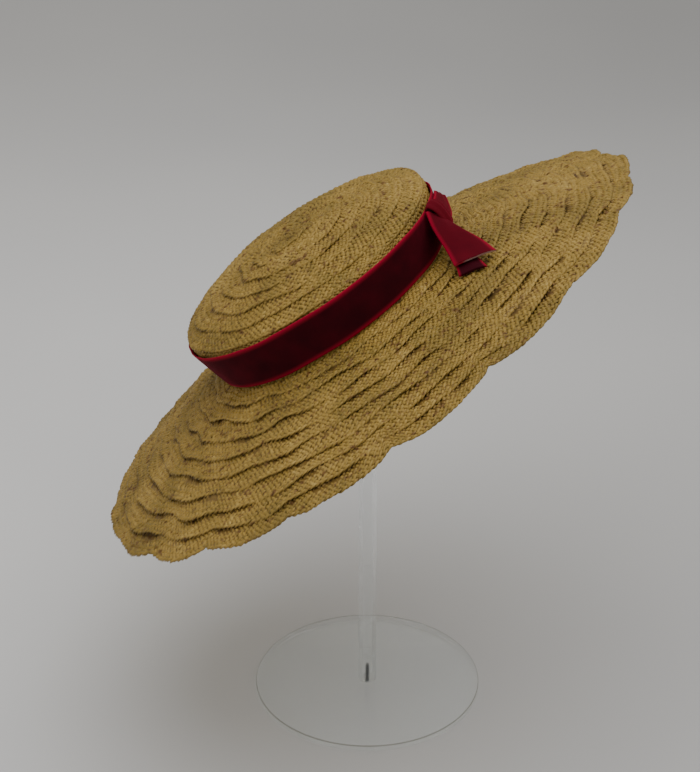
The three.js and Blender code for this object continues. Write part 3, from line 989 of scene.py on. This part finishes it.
def makeStand():
    s = stand
    normal = seatNormal()
    base = roundBar(s["baseRadius"], s["seam"], s["baseThickness"] - s["seam"], s["edgeRound"])
    for face in base.faces:
        if 0.05 < face.normal.z < 0.95:  # the upper rounding
            face.material_index = 1
    finishStand(base, "acrylicDisc", [acrylic, acrylicRim], "stand_base")

    rod = roundBar(s["rodRadius"], s["baseThickness"], s["plateHeight"], s["rodRound"])
    under = -normal * (s["plateThickness"] + s["seam"])
    for corner in rod.verts:
        if corner.co.z > s["plateHeight"] / 2:
            dx, dy = corner.co.x - under.x, corner.co.y - under.y
            corner.co.z += under.z - (normal.x * dx + normal.y * dy) / normal.z
    finishStand(rod, "acrylicRod", [acrylic], "stand_rod")

    plate = roundBar(s["plateRadius"], -s["plateThickness"], 0, s["plateRound"])
    tilt = Vector((0, 0, 1)).rotation_difference(normal).to_matrix().to_4x4()
    place = Matrix.Translation((0, 0, s["plateHeight"])) @ tilt
    bmesh.ops.transform(plate, matrix=place, verts=plate.verts[:])
    finishStand(plate, "acrylicPlate", [acrylic], "stand_plate")

    low, high = s["baseThickness"] - s["studInBase"], s["baseThickness"] + s["studInRod"]
    stud = roundBar(s["studRadius"], low, high, s["studRound"])
    finishStand(stud, "steelStud", [steel], "stand_stud")


# Clear acrylic: polished cast sheet and rod, all but invisible, with thin bright and dark lines
# at its edges; its rims take a greyer tint, as light runs along them
def acrylicMaterial(name, tint):
    material, tree = newMaterial(name)
    place = addNode(tree, "TexCoord").outputs["Object"]
    haze = addNode(tree, "TexNoise", links={
        "Vector": place, "Scale": 1000 / standLook["hazeMm"], "Detail": 3.0})
    rough = addNode(tree, "MapRange", links={
        "Value": haze.outputs["Fac"], "From Min": 0.4, "From Max": 0.8, "To Min": 0.01, "To Max": 0.06})
    body = addNode(tree, "BsdfPrincipled", links={
        "Base Color": toLinear(tint), "Roughness": rough.outputs["Result"],
        "IOR": 1.49, "Transmission Weight": 1.0})
    # light passes through to the floor, so the clear stand hardly casts a shadow
    passing = addNode(tree, "BsdfTransparent", links={"Color": toLinear(tint)})
    shadow = addNode(tree, "LightPath").outputs["Is Shadow Ray"]
    clear = addNode(tree, "Math", {"operation": "MAXIMUM"}, {0: shadow, 1: standLook["clearness"]})
    both = addNode(tree, "MixShader", links={0: clear.outputs[0]})
    tree.links.new(body.outputs[0], both.inputs[1])
    tree.links.new(passing.outputs[0], both.inputs[2])
    finishMaterial(tree, both)
    return material


# Turned steel: a plain dark grey metal with fine rings from the lathe
def steelMaterial():
    material, tree = newMaterial("turnedSteel")
    place = addNode(tree, "TexCoord").outputs["Object"]
    # the pattern's waves are pi / 10 apart at a scale of 1
    rings = addNode(tree, "TexWave", {"bands_direction": "Z"}, {
        "Vector": place, "Scale": math.pi / 10 * 1000 / standLook["ringMm"], "Distortion": 0.3})
    rough = addNode(tree, "MapRange", links={
        "Value": rings.outputs["Fac"], "To Min": 0.3, "To Max": 0.45})
    finishMaterial(tree, addNode(tree, "BsdfPrincipled", links={
        "Base Color": toLinear(standLook["steel"]), "Metallic": 1.0,
        "Roughness": rough.outputs["Result"]}))
    return material


acrylic = acrylicMaterial("clearAcrylic", standLook["tint"])
acrylicRim = acrylicMaterial("acrylicRim", standLook["rim"])
steel = steelMaterial()
makeStand()
print("stand built")


# Floor and light

stage = {
    "paper": ("#cfcfcf", "#d6d6d5"),
    "mottleMm": 400,
    # painted shade on the floor, falling off away from the light
    "farPaintedShade": (0.45, 1.15, 1.0, 0.66),  # from and to in metres along Y, then brightness at each
    "sidePaintedShade": (-0.3, 0.35, 1.06, 0.84),  # the same along X
    "floorHalf": 8,
    "roomColour": "#f3ede0",
    "roomStrength": 0.45,
}

# name, place, aim, size, power, colour
lamps = [
    ("ceiling", (0.3, -0.1, 2.3), (0, 0, 0.1), 3.0, 44, "#f9faff"),
    ("fill", (-1.4, -1.2, 1.5), (0, 0, 0.25), 1.6, 6, "#f2f6ff"),
]


# Grey paper: a smooth uncoated sheet, flat and matt with a faint mottle
def makeStage():
    material, tree = newMaterial("greyPaper")
    place = addNode(tree, "TexCoord").outputs["Object"]
    mottle = addNode(tree, "TexNoise", links={
        "Vector": place, "Scale": 1000 / stage["mottleMm"], "Detail": 2.0})
    dark, light = stage["paper"]
    tone = ramp(tree, mottle.outputs["Fac"], [(0.3, dark), (0.7, light)])
    # painted shade: the flat sheet is painted darker towards its far and right edges, away from the
    # light
    axes = addNode(tree, "SeparateXYZ", links={"Vector": place})
    fades = []
    for axis, fade in (("Y", stage["farPaintedShade"]), ("X", stage["sidePaintedShade"])):
        near, away, bright, dim = fade
        fades.append(addNode(tree, "MapRange", {"interpolation_type": "SMOOTHSTEP"}, {
            "Value": axes.outputs[axis], "From Min": near, "From Max": away,
            "To Min": bright, "To Max": dim}))
    both = addNode(tree, "Math", {"operation": "MULTIPLY"}, {
        0: fades[0].outputs["Result"], 1: fades[1].outputs["Result"]})
    shaded = addNode(tree, "VectorMath", {"operation": "SCALE"}, {0: tone, "Scale": both.outputs[0]})
    finishMaterial(tree, addNode(tree, "BsdfPrincipled", links={
        "Base Color": shaded.outputs[0], "Roughness": 0.8}))
    bm = bmesh.new()
    bmesh.ops.create_grid(bm, x_segments=1, y_segments=1, size=stage["floorHalf"])
    floor = objectFrom(bm, "paperSweep", [material], smooth=False)


def makeLight(name, place, aim, size, power, colour):
    data = bpy.data.lights.new(name, "AREA")
    data.shape = "DISK"
    data.size = size
    data.energy = power
    data.color = toLinear(colour)[:3]
    lamp = bpy.data.objects.new(name, data)
    bpy.context.scene.collection.objects.link(lamp)
    lamp.location = place
    lamp.rotation_euler = (Vector(aim) - Vector(place)).to_track_quat("-Z", "Y").to_euler()


def makeWorld():
    world = bpy.data.worlds.new("room")
    world.use_nodes = True
    background = world.node_tree.nodes["Background"]
    background.inputs["Color"].default_value = toLinear(stage["roomColour"])
    background.inputs["Strength"].default_value = stage["roomStrength"]
    bpy.context.scene.world = world


makeStage()
makeWorld()
for lamp in lamps:
    makeLight(*lamp)
print("stage lit")
